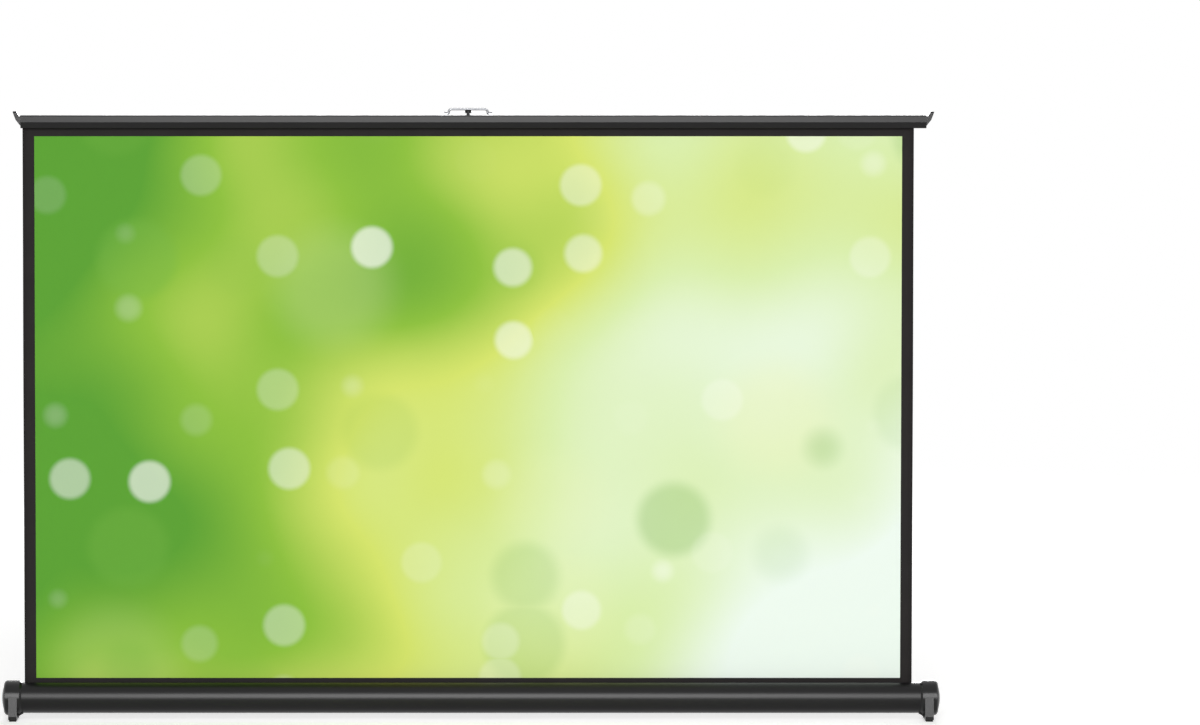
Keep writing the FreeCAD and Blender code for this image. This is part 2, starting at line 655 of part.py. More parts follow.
def pivot_pin(label, x, z, start, end):
    """A pin with its domed head behind: the shank runs from start to end."""
    profile = [
        (start, "0"),
        (f"{end} + dims.pin_head_height", "0"),
        (f"{end} + dims.head_edge", PIN_HEAD_R),
        (end, PIN_HEAD_R),
        (end, PIN_R),
        (start, PIN_R),
    ]
    dome = dome_radius("(dims.pin_head_height - dims.head_edge)", PIN_HEAD_R)
    return turned(label, "Y", profile, x=x, z=z, arcs={1: (dome, "right")})


def make_case():
    cap, disc, pad = right_end_cap(), right_end_disc(), right_foot_pad()
    screw_y = f"{CAP_R} * cos(dims.cap_screw_tilt)"
    screw_z = f"{AXIS_Z} + {CAP_R} * sin(dims.cap_screw_tilt)"
    cap_screw = screw("right_cap_screw", CAP_SCREW_X, screw_y, screw_z, "dims.cap_screw_length")
    turn_about_case(cap_screw, "dims.cap_screw_tilt")
    bracket_x = "dims.screen_shift + dims.bracket_screw_spacing / 2"
    bracket_length = "dims.lower_bracket_stand + dims.tube_wall"
    bracket_screw = screw("right_bracket_screw", bracket_x, LOWER_FACE_Y, AXIS_Z, bracket_length)
    pin_end = f"{LOWER_ARM_Y} + dims.arm_thickness + dims.face_clearance"
    pin_start = f"{TUBE_R} + dims.press_clearance"
    pin = pivot_pin("right_lower_pin", PIVOT_X, AXIS_Z, pin_start, pin_end)
    spacer = ring(
        "right_lower_spacer",
        "Y",
        LOWER_FACE_Y,
        f"{LOWER_ARM_Y} - dims.face_clearance",
        SPACER_BORE_R,
        SPACER_R,
        x=PIVOT_X,
        z=AXIS_Z,
    )
    left_screw = mirrored("left_cap_screw", cap_screw)
    left_bracket_screw = mirrored("left_bracket_screw", bracket_screw, "dims.screen_shift")
    return [
        case_tube(),
        cap,
        mirrored("left_end_cap", cap),
        disc,
        mirrored("left_end_disc", disc),
        pad,
        mirrored("left_foot_pad", pad),
        group("end_cap_screws", cap_screw, left_screw),
        lower_bracket(),
        group("lower_bracket_screws", bracket_screw, left_bracket_screw),
        pin,
        mirrored("left_lower_pin", pin, "dims.screen_shift"),
        spacer,
        mirrored("left_lower_spacer", spacer, "dims.screen_shift"),
    ]


# Roller and spring


def left_roller_plug(bore):
    """The plug in the roller's left end, with the radius of its hole."""
    inner = f"{ROLLER_LEFT} + dims.roller_plug_depth"
    outer = f"{ROLLER_LEFT} - dims.roller_plug_flange"
    fitted = f"{ROLLER_BORE_R} - dims.press_clearance"
    profile = [
        (inner, bore),
        (outer, bore),
        (outer, ROLLER_R),
        (ROLLER_LEFT, ROLLER_R),
        (ROLLER_LEFT, fitted),
        (inner, fitted),
    ]
    return turned("left_roller_plug", "X", profile, z=AXIS_Z)


def right_roller_plug(bore):
    """The plug in the roller's right end, with a nose for the torsion spring."""
    inner = f"({ROLLER_RIGHT} - dims.roller_plug_depth)"
    outer = f"{ROLLER_RIGHT} + dims.roller_plug_flange"
    nose = f"{inner} - dims.spring_seat"
    fitted = f"{ROLLER_BORE_R} - dims.press_clearance"
    profile = [
        (nose, bore),
        (outer, bore),
        (outer, ROLLER_R),
        (ROLLER_RIGHT, ROLLER_R),
        (ROLLER_RIGHT, fitted),
        (inner, fitted),
        (inner, SPRING_SEAT_R),
        (nose, SPRING_SEAT_R),
    ]
    return turned("right_roller_plug", "X", profile, z=AXIS_Z)


def arc_from(start, way, end):
    """The arc from start to end that sets out along a given way."""
    chord = end - start
    along = Vector(chord).normalize()
    turn = way.getAngle(along)
    bulge = (way - along * way.dot(along)).normalize()
    middle = (start + end) * 0.5 + bulge * (chord.Length / 2 * math.tan(turn / 2))
    return Part.Arc(start, middle, end).toShape()


def coil_spine(start, radius, pitch, turns):
    """A helix along X, as a smooth pair of arcs for each quarter turn."""
    quarter = math.pi / 2
    rise = pitch / (2 * math.pi)

    def place(angle):
        return start + Vector(rise * angle, radius * math.cos(angle), radius * math.sin(angle))

    def heading(angle):
        return Vector(rise, -radius * math.sin(angle), radius * math.cos(angle)).normalize()

    edges = []
    for step in range(4 * turns):
        begin, end = place(step * quarter), place((step + 1) * quarter)
        way_in, way_out = heading(step * quarter), heading((step + 1) * quarter)
        span, ways = end - begin, way_in + way_out
        spread = 2 * (1 - way_in.dot(way_out))
        reach = (math.sqrt(span.dot(ways) ** 2 + spread * span.dot(span)) - span.dot(ways)) / spread
        joint = (begin + end + (way_in - way_out) * reach) * 0.5
        edges.append(arc_from(begin, way_in, joint))
        edges.append(arc_from(end, way_out * -1, joint))
    return Part.Wire(Part.__sortEdges__(edges))


def torsion_spring():
    """The coil from the arbor's anchor to the right plug, hidden in the roller."""
    wire_r = value("dims.spring_wire") / 2
    radius = value("dims.spring_diameter") / 2 - wire_r
    pitch = value("dims.spring_pitch")
    start = Vector(value(SPRING_START), 0, 0)
    spine = coil_spine(start, radius, pitch, int(value("dims.spring_turns")))
    heading = Vector(pitch / (2 * math.pi), 0, radius)
    section = Part.Wire(Part.Circle(start + Vector(0, radius, 0), heading, wire_r).toShape())
    coil = doc.addObject("Part::Feature", "torsion_spring")
    coil.Shape = spine.makePipeShell([section], True, False)
    coil.Placement = Placement(Vector(0, 0, value(AXIS_Z)), Rotation())
    print(f"torsion spring: gap between turns {pitch - 2 * wire_r:.2f}, wire length {spine.Length:.1f}")
    return coil


def make_roller():
    gudgeon_start = f"-({SOCKET_END} - dims.stop_clearance)"
    gudgeon_end = f"{ROLLER_LEFT} + dims.roller_plug_depth"
    arbor_end = f"{SOCKET_END} - dims.stop_clearance"
    bush_end = f"{PLUG_START} + dims.bush_length"
    socket_r = "(dims.socket_diameter / 2 - dims.press_clearance)"
    pressed = f"({GUDGEON_R} + dims.press_clearance)"
    running = f"({GUDGEON_R} + dims.run_clearance)"
    return [
        ring("roller_tube", "X", ROLLER_LEFT, ROLLER_RIGHT, ROLLER_BORE_R, ROLLER_R, z=AXIS_Z),
        left_roller_plug(pressed),
        right_roller_plug(running),
        rod("gudgeon_pin", "X", gudgeon_start, gudgeon_end, GUDGEON_R, z=AXIS_Z),
        ring("bearing_bush", "X", minus(bush_end), minus(PLUG_START), running, socket_r, z=AXIS_Z),
        rod("spring_arbor", "X", ARBOR_LEFT, arbor_end, GUDGEON_R, z=AXIS_Z),
        ring("arbor_socket", "X", PLUG_START, bush_end, pressed, socket_r, z=AXIS_Z),
        ring("spring_anchor", "X", ARBOR_LEFT, ANCHOR_END, pressed, SPRING_SEAT_R, z=AXIS_Z),
        torsion_spring(),
    ]


# Cloth


def screen_cloth():
    """The cloth from the hem rod down to the back of the roller, and three quarters of a turn on it."""
    body = new_body("screen_cloth", x=CLOTH_LEFT, z=AXIS_Z)
    section = new_sketch(body, "YZ")
    top = f"({BAR_BOTTOM} + {HEM_RISE} - {AXIS_Z})"
    inner, outer = WRAP_IN_R, WRAP_OUT_R
    draw_outline(
        section,
        [
            (outer, top),
            (inner, top),
            (inner, "0"),
            ("0", minus(inner)),
            (minus(inner), "0"),
            ("0", inner),
            ("0", outer),
            (minus(outer), "0"),
            ("0", minus(outer)),
            (outer, "0"),
        ],
        {
            2: (inner, "right"),
            3: (inner, "right"),
            4: (inner, "right"),
            6: (outer, "left"),
            7: (outer, "left"),
            8: (outer, "left"),
        },
    )
    extrude(body, "Pad", section, f"2 * {CLOTH_HALF}", True)
    return body


def hem_rod():
    body = new_body("hem_rod", x=CLOTH_LEFT, y=CLOTH_Y, z=f"{BAR_BOTTOM} + {HEM_RISE}")
    section = new_sketch(body, "YZ")
    radius = "(dims.hem_rod_diameter / 2)"
    draw_circle(section, ("0", "0"), radius)
    extrude(body, "Pad", section, f"2 * {CLOTH_HALF}", True)
    slit = new_sketch(body, "YZ")
    draw_box(slit, "-dims.hem_grip / 2", minus(radius), "dims.hem_grip / 2", "dims.run_clearance")
    extrude(body, "Pocket", slit, f"2 * {CLOTH_HALF}", True)
    return body


# Top bar


def draw_hollow(sketch, margin):
    """The section of the bar's upper hollow, drawn in by a margin."""
    wall = f"(dims.bar_wall + {margin})"
    back = f"(dims.bar_depth / 2 - {wall})"
    front = f"({back} - dims.bar_slant)"
    base = f"({CAVITY_BASE} + {margin})"
    top = f"({BAR_HEIGHT} - {wall})"
    bend = f"(dims.bar_round - {wall})"
    nose = f"(dims.bar_nose - {wall})"
    draw_outline(
        sketch,
        [
            (minus(front), base),
            (back, base),
            (back, f"{top} - {bend}"),
            (f"{back} - {bend}", top),
            (f"-({front} - {nose})", top),
            (minus(front), f"{top} - {nose}"),
        ],
        {2: (bend, "left"), 4: (nose, "left")},
    )


def top_bar():
    """Extrusion with a bulged front and a round back, the hollow above and the hem rod's channel below."""
    length = f"{BAR_RIGHT} - {BAR_LEFT}"
    body = new_body("top_bar", x=BAR_LEFT, y=CLOTH_Y, z=BAR_BOTTOM)
    half, height = "(dims.bar_depth / 2)", BAR_HEIGHT
    section = new_sketch(body, "YZ")
    foot = f"({half} - dims.bar_taper)"
    brow = f"({half} - dims.bar_slant)"
    draw_outline(
        section,
        [
            (minus(foot), "0"),
            (half, "0"),
            (half, f"{height} - dims.bar_round"),
            (f"{half} - dims.bar_round", height),
            (f"-({brow} - dims.bar_nose)", height),
            (minus(brow), f"{height} - dims.bar_nose"),
            (minus(half), "dims.bar_waist"),
        ],
        {2: ("dims.bar_round", "left"), 4: ("dims.bar_nose", "left")},
    )
    extrude(body, "Pad", section, length, True)
    hollow = new_sketch(body, "YZ")
    draw_hollow(hollow, "0")
    draw_circle(hollow, ("0", HEM_RISE), "dims.hem_channel_diameter / 2")
    extrude(body, "Pocket", hollow, length, True)
    slot = new_sketch(body, "YZ")
    draw_box(slot, "-dims.hem_slot / 2", "0", "dims.hem_slot / 2", HEM_RISE)
    extrude(body, "Pocket", slot, length, True)
    holes = new_sketch(body, "XZ", f"-({half} - dims.bracket_bite)")
    middle = f"(dims.screen_shift - {BAR_LEFT})"
    apart = "dims.bracket_screw_spacing / 2"
    for place in (f"{middle} - {apart}", f"{middle} + {apart}"):
        draw_circle(holes, (place, f"{height} / 2 - dims.bracket_screw_drop"), SCREW_HOLE_R)
    extrude(body, "Pocket", holes, "dims.bracket_bite", False)
    along = Vector(1, 0, 0)
    edge_y = value(foot) - NEAR
    round_edges(
        body,
        "dims.edge_round",
        lambda edge: runs_along(edge, along)
        and abs(edge.CenterOfMass.z) < NEAR
        and abs(edge.CenterOfMass.y) > edge_y,
    )
    return body


def right_bar_cap():
    """End piece of the bar: a tongue in the bar's hollow and a raised lip that leans out."""
    body = new_body("right_bar_cap", x=BAR_RIGHT, y=CLOTH_Y, z=BAR_BOTTOM)
    reach, height = "dims.bar_cap_length", BAR_HEIGHT
    half = "(dims.bar_depth / 2 - dims.bar_wall)"
    top = f"({height} + dims.bar_cap_rise)"
    step = f"{height} - dims.bar_cap_step"
    side = new_sketch(body, "XZ", minus(half))
    draw_outline(
        side,
        [
            ("0", "dims.bar_cap_neck"),
            (f"{reach} - dims.bar_cap_lean", f"{height} - dims.bar_cap_chin"),
            (reach, top),
            (f"{reach} - dims.bar_cap_lip", top),
            ("dims.bar_cap_shoulder", step),
            ("0", step),
        ],
    )
    extrude(body, "Pad", side, f"2 * {half}", True)
    tongue = new_sketch(body, "YZ")
    draw_hollow(tongue, "dims.fit_clearance")
    extrude(body, "Pad", tongue, "dims.bar_cap_plug", False)
    along, across = Vector(1, 0, 0), Vector(0, 1, 0)
    lip_low = value(top) - NEAR
    for radius, way in (("dims.bar_cap_corner", along), ("dims.edge_round", across)):
        round_edges(
            body,
            radius,
            lambda edge, way=way: runs_along(edge, way) and edge.CenterOfMass.z > lip_low,
        )
    return body


def right_handle_lug():
    """A block on the bar with a blind hole for the turned-out end of the bow."""
    body = new_body("right_handle_lug", x=f"dims.screen_shift + {LUG_X}", y=CLOTH_Y, z=BAR_TOP)
    side = new_sketch(body, "YZ")
    half = "(dims.lug_depth / 2)"
    top = f"(dims.lug_axis + {half})"
    draw_outline(
        side,
        [
            (minus(half), "0"),
            (half, "0"),
            (half, "dims.lug_axis"),
            ("0", top),
            (minus(half), "dims.lug_axis"),
        ],
        {2: (half, "left"), 3: (half, "left")},
    )
    extrude(body, "Pad", side, "dims.lug_width", True)
    hole = new_sketch(body, "YZ")
    draw_circle(hole, ("0", "dims.lug_axis"), "dims.handle_wire / 2 + dims.run_clearance")
    extrude(body, "Pocket", hole, "dims.lug_width - dims.lug_end_cover + dims.stop_clearance", True)
    return body


def handle_bow():
    """Bent wire bow whose ends turn out into the lugs."""
    body = new_body("handle_bow", x="dims.screen_shift", y=CLOTH_Y, z=HANDLE_Z)
    rise = "(dims.handle_rise - dims.lug_axis - dims.handle_wire / 2)"
    bend, corner = "dims.handle_bend", "dims.handle_corner"
    path = new_sketch(body, "XZ")
    corners = [
        (minus(WIRE_END_X), "0"),
        (f"-({LEG_X} + {bend})", "0"),
        (minus(LEG_X), bend),
        (minus(LEG_X), f"{rise} - {corner}"),
        (f"-({LEG_X} - {corner})", rise),
        (f"{LEG_X} - {corner}", rise),
        (LEG_X, f"{rise} - {corner}"),
        (LEG_X, bend),
        (f"{LEG_X} + {bend}", "0"),
        (WIRE_END_X, "0"),
    ]
    arcs = {1: (bend, "left"), 3: (corner, "right"), 5: (corner, "right"), 7: (bend, "left")}
    draw_outline(path, corners, arcs, closed=False)
    section = new_sketch(body, "YZ", minus(WIRE_END_X))
    draw_circle(section, ("0", "0"), "dims.handle_wire / 2")
    doc.recompute()
    pipe = body.newObject("PartDesign::AdditivePipe", "handle_pipe")
    pipe.Profile = section
    pipe.Spine = (path, [f"Edge{i}" for i in range(1, len(corners))])
    return body


def upper_bracket():
    """Plate behind the bar with the two upper pivots and the plunger's guide."""
    half = f"({PIVOT_HALF} + dims.bracket_end)"
    body = new_body("upper_bracket", x="dims.screen_shift", y=BAR_BACK, z=PIVOT_TOP)
    plate = new_sketch(body, "XZ")
    draw_box(plate, minus(half), f"-{BAR_HEIGHT} / 2", half, f"{BAR_HEIGHT} / 2")
    for place in (minus(PIVOT_HALF), PIVOT_HALF):
        draw_circle(plate, (place, "0"), SPACER_BORE_R)
    for place in ("-dims.bracket_screw_spacing / 2", "dims.bracket_screw_spacing / 2"):
        draw_circle(plate, (place, "-dims.bracket_screw_drop"), SCREW_HOLE_R)
    extrude(body, "Pad", plate, "dims.bracket_plate", False)
    guide = new_sketch(body, "XZ", "-dims.bracket_plate")
    wide, tall = "dims.guide_width / 2", "dims.guide_height / 2"
    draw_box(guide, f"-{wide}", f"-{tall}", wide, tall)
    extrude(body, "Pad", guide, "dims.guide_depth", False)
    bore = new_sketch(body, "XY", f"-{tall}")
    bore_y = "dims.bracket_plate + dims.guide_depth / 2"
    draw_circle(bore, ("0", bore_y), f"{PLUNGER_R} + dims.run_clearance")
    extrude(body, "Pocket", bore, "dims.guide_height", True)
    through, upright = Vector(0, 1, 0), Vector(0, 0, 1)
    side = value(half) - NEAR
    behind = value("dims.bracket_plate + dims.guide_depth") - NEAR
    round_edges(
        body,
        "dims.bracket_corner",
        lambda edge: (runs_along(edge, through) and abs(edge.CenterOfMass.x) > side)
        or (runs_along(edge, upright) and edge.CenterOfMass.y > behind),
    )
    return body


def release_button():
    """Button and plunger in one piece."""
    radius = "(dims.button_diameter / 2)"
    profile = [
        (PLUNGER_END, "0"),
        (f"{BUTTON_BASE} + dims.button_height", "0"),
        (f"{BUTTON_BASE} + dims.button_height", f"{radius} - dims.edge_round"),
        (f"{BUTTON_BASE} + dims.button_height - dims.edge_round", radius),
        (BUTTON_BASE, radius),
        (BUTTON_BASE, PLUNGER_R),
        (PLUNGER_END, PLUNGER_R),
    ]
    arcs = {2: ("dims.edge_round", "right")}
    return turned("release_button", "Z", profile, x="dims.screen_shift", y=GUIDE_Y, arcs=arcs)


def plunger_tip():
    """Bright ball-ended tip under the plunger."""
    radius = "(dims.tip_diameter / 2)"
    low = f"({PLUNGER_END} - dims.tip_height)"
    profile = [
        (low, "0"),
        (PLUNGER_END, "0"),
        (PLUNGER_END, radius),
        (f"{low} + {radius}", radius),
    ]
    arcs = {3: (radius, "right")}
    return turned("plunger_tip", "Z", profile, x="dims.screen_shift", y=GUIDE_Y, arcs=arcs)


def make_top_bar():
    cap, lug = right_bar_cap(), right_handle_lug()
    screw_x = "dims.screen_shift + dims.bracket_screw_spacing / 2"
    screw_z = f"{PIVOT_TOP} - dims.bracket_screw_drop"
    bite = "dims.bracket_plate + dims.bracket_bite"
    fixing = screw("right_upper_screw", screw_x, PLATE_BACK, screw_z, bite)
    pin_end = f"{UPPER_ARM_Y} + dims.arm_thickness + dims.face_clearance"
    pin = pivot_pin("right_upper_pin", PIVOT_X, PIVOT_TOP, f"{BAR_BACK} + dims.press_clearance", pin_end)
    spacer = ring(
        "right_upper_spacer",
        "Y",
        PLATE_BACK,
        f"{UPPER_ARM_Y} - dims.face_clearance",
        SPACER_BORE_R,
        SPACER_R,
        x=PIVOT_X,
        z=PIVOT_TOP,
    )
    left_lug = mirrored("left_handle_lug", lug, "dims.screen_shift")
    left_fixing = mirrored("left_upper_screw", fixing, "dims.screen_shift")
    return [
        top_bar(),
        hem_rod(),
        cap,
        mirrored("left_bar_cap", cap, f"({BAR_LEFT} + {BAR_RIGHT}) / 2"),
        group("handle_lugs", lug, left_lug),
        handle_bow(),
        upper_bracket(),
        group("upper_bracket_screws", fixing, left_fixing),
        pin,
        mirrored("left_upper_pin", pin, "dims.screen_shift"),
        spacer,
        mirrored("left_upper_spacer", spacer, "dims.screen_shift"),
        release_button(),
        plunger_tip(),
    ]


# Arms


def right_arm(label, z, front, tilt, axis):
    """A flat bar with round ends and a hole at each, from its bracket's pivot to the elbow."""
    body = new_body(label)
    body.Placement = Placement(Vector(0, 0, 0), Rotation(Vector(0, axis, 0), 1))
    body.setExpression("Placement.Rotation.Angle", tilt)
    for letter, text in zip("xyz", (PIVOT_X, front, z)):
        body.setExpression("Placement.Base." + letter, text)
    outline = new_sketch(body, "XZ")
    half = "(dims.arm_width / 2)"
    draw_outline(
        outline,
        [
            ("0", minus(half)),
            (ARM_LENGTH, minus(half)),
            (f"{ARM_LENGTH} + {half}", "0"),
            (ARM_LENGTH, half),
            ("0", half),
            (minus(half), "0"),
        ],
        {i: (half, "left") for i in (1, 2, 4, 5)},
    )
    for place in ("0", ARM_LENGTH):
        draw_circle(outline, (place, "0"), ARM_BORE_R)
    extrude(body, "Pad", outline, "dims.arm_thickness", False)
    return body


def make_arms():
    """The right-hand arms and elbow, and the same on the left."""
    lean = "90 - dims.arm_angle"
    pin_end = f"{LOWER_ARM_Y} + dims.arm_thickness + dims.face_clearance"
    clip_end = f"({UPPER_ARM_Y} - dims.face_clearance)"
    clip_start = f"({clip_end} - dims.clip_thickness)"
    washer_start = f"{UPPER_ARM_Y} + dims.arm_thickness + dims.face_clearance"
    washer_end = f"{LOWER_ARM_Y} - dims.face_clearance"
    pieces = [
        right_arm("right_lower_arm", AXIS_Z, LOWER_ARM_Y, lean, -1),
        right_arm("right_upper_arm", PIVOT_TOP, UPPER_ARM_Y, lean, 1),
        pivot_pin("right_elbow_pin", ELBOW_X, ELBOW_Z, clip_start, pin_end),
        ring(
            "right_elbow_washer",
            "Y",
            washer_start,
            washer_end,
            SPACER_BORE_R,
            SPACER_R,
            x=ELBOW_X,
            z=ELBOW_Z,
        ),
        ring(
            "right_elbow_clip",
            "Y",
            clip_start,
            clip_end,
            SPACER_BORE_R,
            SPACER_R,
            x=ELBOW_X,
            z=ELBOW_Z,
        ),
    ]
    copies = []
    for piece in pieces:
        copies.append(mirrored(piece.Name.replace("right_", "left_"), piece, "dims.screen_shift"))
    return pieces + copies


def check(pieces):
    """Stops where an object failed, or a piece is empty or not a sound solid."""
    doc.recompute()
    for item in doc.Objects:
        if "Invalid" in item.State or "Error" in item.State:
            raise RuntimeError(f"{item.Label} failed: {item.State}")
    for piece in pieces:
        if piece.Shape.isNull() or not piece.Shape.isValid() or not piece.Shape.Solids:
            raise RuntimeError(f"{piece.Label} has no sound solid")


def main():
    pieces = make_case() + make_roller() + [screen_cloth()] + make_top_bar() + make_arms()
    check(pieces)
    os.makedirs("parts", exist_ok=True)
    for piece in pieces:
        piece.Shape.exportStep(f"parts/{piece.Label}.step")
        box = piece.Shape.BoundBox
        low = f"{box.XMin:.1f} {box.YMin:.1f} {box.ZMin:.1f}"
        high = f"{box.XMax:.1f} {box.YMax:.1f} {box.ZMax:.1f}"
        print(f"{piece.Label}: volume {piece.Shape.Volume:.0f}, from {low} to {high}")


main()
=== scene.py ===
"""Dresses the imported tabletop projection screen: its cloth, finishes, light and camera. Metres, +Z up, and
the picture faces -Y."""

import json
import math

import bpy
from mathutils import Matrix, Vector


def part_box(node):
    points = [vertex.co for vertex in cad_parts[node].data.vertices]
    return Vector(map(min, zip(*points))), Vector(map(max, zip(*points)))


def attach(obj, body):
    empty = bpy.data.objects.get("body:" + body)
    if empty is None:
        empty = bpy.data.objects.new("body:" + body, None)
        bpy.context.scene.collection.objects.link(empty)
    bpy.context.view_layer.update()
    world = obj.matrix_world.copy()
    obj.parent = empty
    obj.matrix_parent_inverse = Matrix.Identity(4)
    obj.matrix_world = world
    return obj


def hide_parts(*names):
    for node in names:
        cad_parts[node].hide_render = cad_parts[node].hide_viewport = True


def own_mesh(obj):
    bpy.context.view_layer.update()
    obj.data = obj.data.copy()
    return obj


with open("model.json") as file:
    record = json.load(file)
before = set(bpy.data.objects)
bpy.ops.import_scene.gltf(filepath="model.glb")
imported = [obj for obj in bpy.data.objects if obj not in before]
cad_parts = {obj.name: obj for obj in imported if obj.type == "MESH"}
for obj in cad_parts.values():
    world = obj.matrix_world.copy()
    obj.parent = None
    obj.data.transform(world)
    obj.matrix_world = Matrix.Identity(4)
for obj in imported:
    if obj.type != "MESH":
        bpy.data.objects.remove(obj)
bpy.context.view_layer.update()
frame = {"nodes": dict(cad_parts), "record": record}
nodes = frame["nodes"]

MM = 0.001

# The photograph's front view: the middle of the case and the table top, in its pixels
PHOTO_WIDTH, PHOTO_HEIGHT = 1200, 725
CASE_COLUMN, TABLE_ROW = 471, 720.5
METRES_PER_PIXEL = 1.24 * MM
CAMERA_DISTANCE = 7.0
CAMERA_PITCH = math.radians(3)
CAMERA_REACH = 200
SENSOR_WIDTH_MM = 36

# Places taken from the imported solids
cloth_low, cloth_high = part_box("screen_cloth")
bar_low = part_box("top_bar")[0]
tube_low, tube_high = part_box("case_tube")
AXIS_Z = (tube_low.z + tube_high.z) / 2
CLOTH_THICKNESS = 0.4 * MM
CLOTH_Y = cloth_high.y - CLOTH_THICKNESS / 2
CLOTH_TOP = cloth_high.z

# The white picture area, inside the cloth's black borders
SIDE_BORDER, TOP_BORDER, BOTTOM_BORDER = 14.5 * MM, 10 * MM, 4.9 * MM
PICTURE_LEFT, PICTURE_RIGHT = cloth_low.x + SIDE_BORDER, cloth_high.x - SIDE_BORDER
PICTURE_LOW, PICTURE_HIGH = tube_high.z + BOTTOM_BORDER, bar_low.z - TOP_BORDER


# Shader nodes


def srgb(red, green, blue):
    """A colour given as 0 to 255 on the screen, as linear light."""

    def linear(level):
        share = level / 255
        return share / 12.92 if share <= 0.04045 else ((share + 0.055) / 1.055) ** 2.4

    return (linear(red), linear(green), linear(blue), 1.0)


class Finish:
    """A material with a principled surface, and short ways to add nodes to it."""

    def __init__(self, name, **sockets):
        self.material = bpy.data.materials.new(name)
        self.material.use_nodes = True
        self.tree = self.material.node_tree
        self.surface = self.tree.nodes["Principled BSDF"]
        self.place = self.add("TexCoord").outputs["Object"]
        for socket, given in sockets.items():
            self.set(socket.replace("_", " ").title().replace("Ior", "IOR"), given)

    def give(self, socket, given):
        if isinstance(given, bpy.types.NodeSocket):
            self.tree.links.new(given, socket)
        else:
            socket.default_value = given

    def set(self, socket, given):
        self.give(self.surface.inputs[socket], given)

    def add(self, kind, inputs=None, **settings):
        node = self.tree.nodes.new("ShaderNode" + kind)
        for name, setting in settings.items():
            setattr(node, name, setting)
        for socket, given in (inputs or {}).items():
            self.give(node.inputs[socket], given)
        return node

    def calc(self, operation, *given):
        return self.add("Math", dict(enumerate(given)), operation=operation).outputs[0]

    def axis(self, letter):
        """One coordinate of the surface, in metres."""
        return self.add("SeparateXYZ", {0: self.place}).outputs[letter]

    def stretched(self, scale):
        """The surface's place, scaled by a different amount along each axis."""
        return self.add("Mapping", {"Vector": self.place, "Scale": scale}).outputs[0]

    def noise(self, scale, detail=2.0, place=None):
        inputs = {"Vector": place or self.place, "Scale": scale, "Detail": detail}
        return self.add("TexNoise", inputs).outputs[0]

    def remap(self, given, low, high):
        """A 0 to 1 value carried to low to high."""
        inputs = {"Value": given, "To Min": low, "To Max": high}
        return self.add("MapRange", inputs).outputs[0]

    def step(self, given, low, high):
        """0 below low and 1 above high, with a soft edge between; low may be the larger."""
        inputs = {"Value": given, "From Min": low, "From Max": high}
        return self.add("MapRange", inputs, interpolation_type="SMOOTHSTEP").outputs[0]

    def mix(self, factor, first, second):
        """Two colours mixed; the numbers are the colour sockets of the node."""
        node = self.add("Mix", data_type="RGBA")
        for index, given in ((0, factor), (6, first), (7, second)):
            self.give(node.inputs[index], given)
        return node.outputs[2]

    def ramp(self, given, stops):
        node = self.add("ValToRGB", {"Fac": given})
        elements = node.color_ramp.elements
        while len(elements) < len(stops):
            elements.new(1.0)
        for element, (position, colour) in zip(elements, stops):
            element.position = position
            element.color = colour
        return node.outputs[0]

    def bump(self, height, depth, strength=1.0):
        inputs = {"Height": height, "Distance": depth, "Strength": strength}
        self.set("Normal", self.add("Bump", inputs).outputs[0])


# Finishes


def black_aluminium():
    """Satin black extrusion with fine lines along its length."""
    finish = Finish("black_aluminium", specular_ior_level=0.25)
    streaks = finish.noise(scale=1.0, detail=3.0, place=finish.stretched((3, 900, 900)))
    cloudy = finish.noise(scale=14.0, detail=3.0)
    finish.set("Base Color", finish.mix(cloudy, srgb(14, 13, 14), srgb(20, 19, 20)))
    finish.set("Roughness", finish.remap(streaks, 0.27, 0.35))
    finish.bump(streaks, depth=0.01 * MM, strength=0.4)
    return finish.material


def black_plastic():
    """Moulded plastic with a fine spark-eroded grain."""
    finish = Finish("black_plastic", specular_ior_level=0.3)
    grain = finish.noise(scale=2200.0, detail=2.0)
    cloudy = finish.noise(scale=40.0, detail=3.0)
    finish.set("Base Color", finish.mix(cloudy, srgb(13, 13, 14), srgb(20, 20, 21)))
    finish.set("Roughness", finish.remap(cloudy, 0.19, 0.26))
    finish.bump(grain, depth=0.03 * MM, strength=0.5)
    return finish.material


def disc_plastic():
    """Smooth glossy plastic with faint moulding waves."""
    finish = Finish("disc_plastic", specular_ior_level=0.35)
    cloudy = finish.noise(scale=60.0, detail=3.0)
    finish.set("Base Color", finish.mix(cloudy, srgb(16, 16, 17), srgb(22, 22, 23)))
    finish.set("Roughness", finish.remap(cloudy, 0.2, 0.3))
    waves = finish.noise(scale=120.0, detail=1.0)
    finish.bump(waves, depth=0.03 * MM, strength=0.3)
    return finish.material


def foot_rubber():
    finish = Finish("foot_rubber", specular_ior_level=0.25)
    grain = finish.noise(scale=1500.0, detail=3.0)
    finish.set("Base Color", finish.mix(grain, srgb(24, 24, 24), srgb(38, 38, 38)))
    finish.set("Roughness", finish.remap(grain, 0.75, 0.95))
    finish.bump(grain, depth=0.05 * MM)
    return finish.material


def black_steel():
    """Black stove paint with a slight orange peel."""
    finish = Finish("black_steel", specular_ior_level=0.3)
    peel = finish.noise(scale=700.0, detail=1.5)
    cloudy = finish.noise(scale=25.0, detail=3.0)
    finish.set("Base Color", finish.mix(cloudy, srgb(33, 33, 33), srgb(43, 42, 42)))
    finish.set("Roughness", finish.remap(cloudy, 0.32, 0.44))
    finish.bump(peel, depth=0.03 * MM, strength=0.4)
    return finish.material


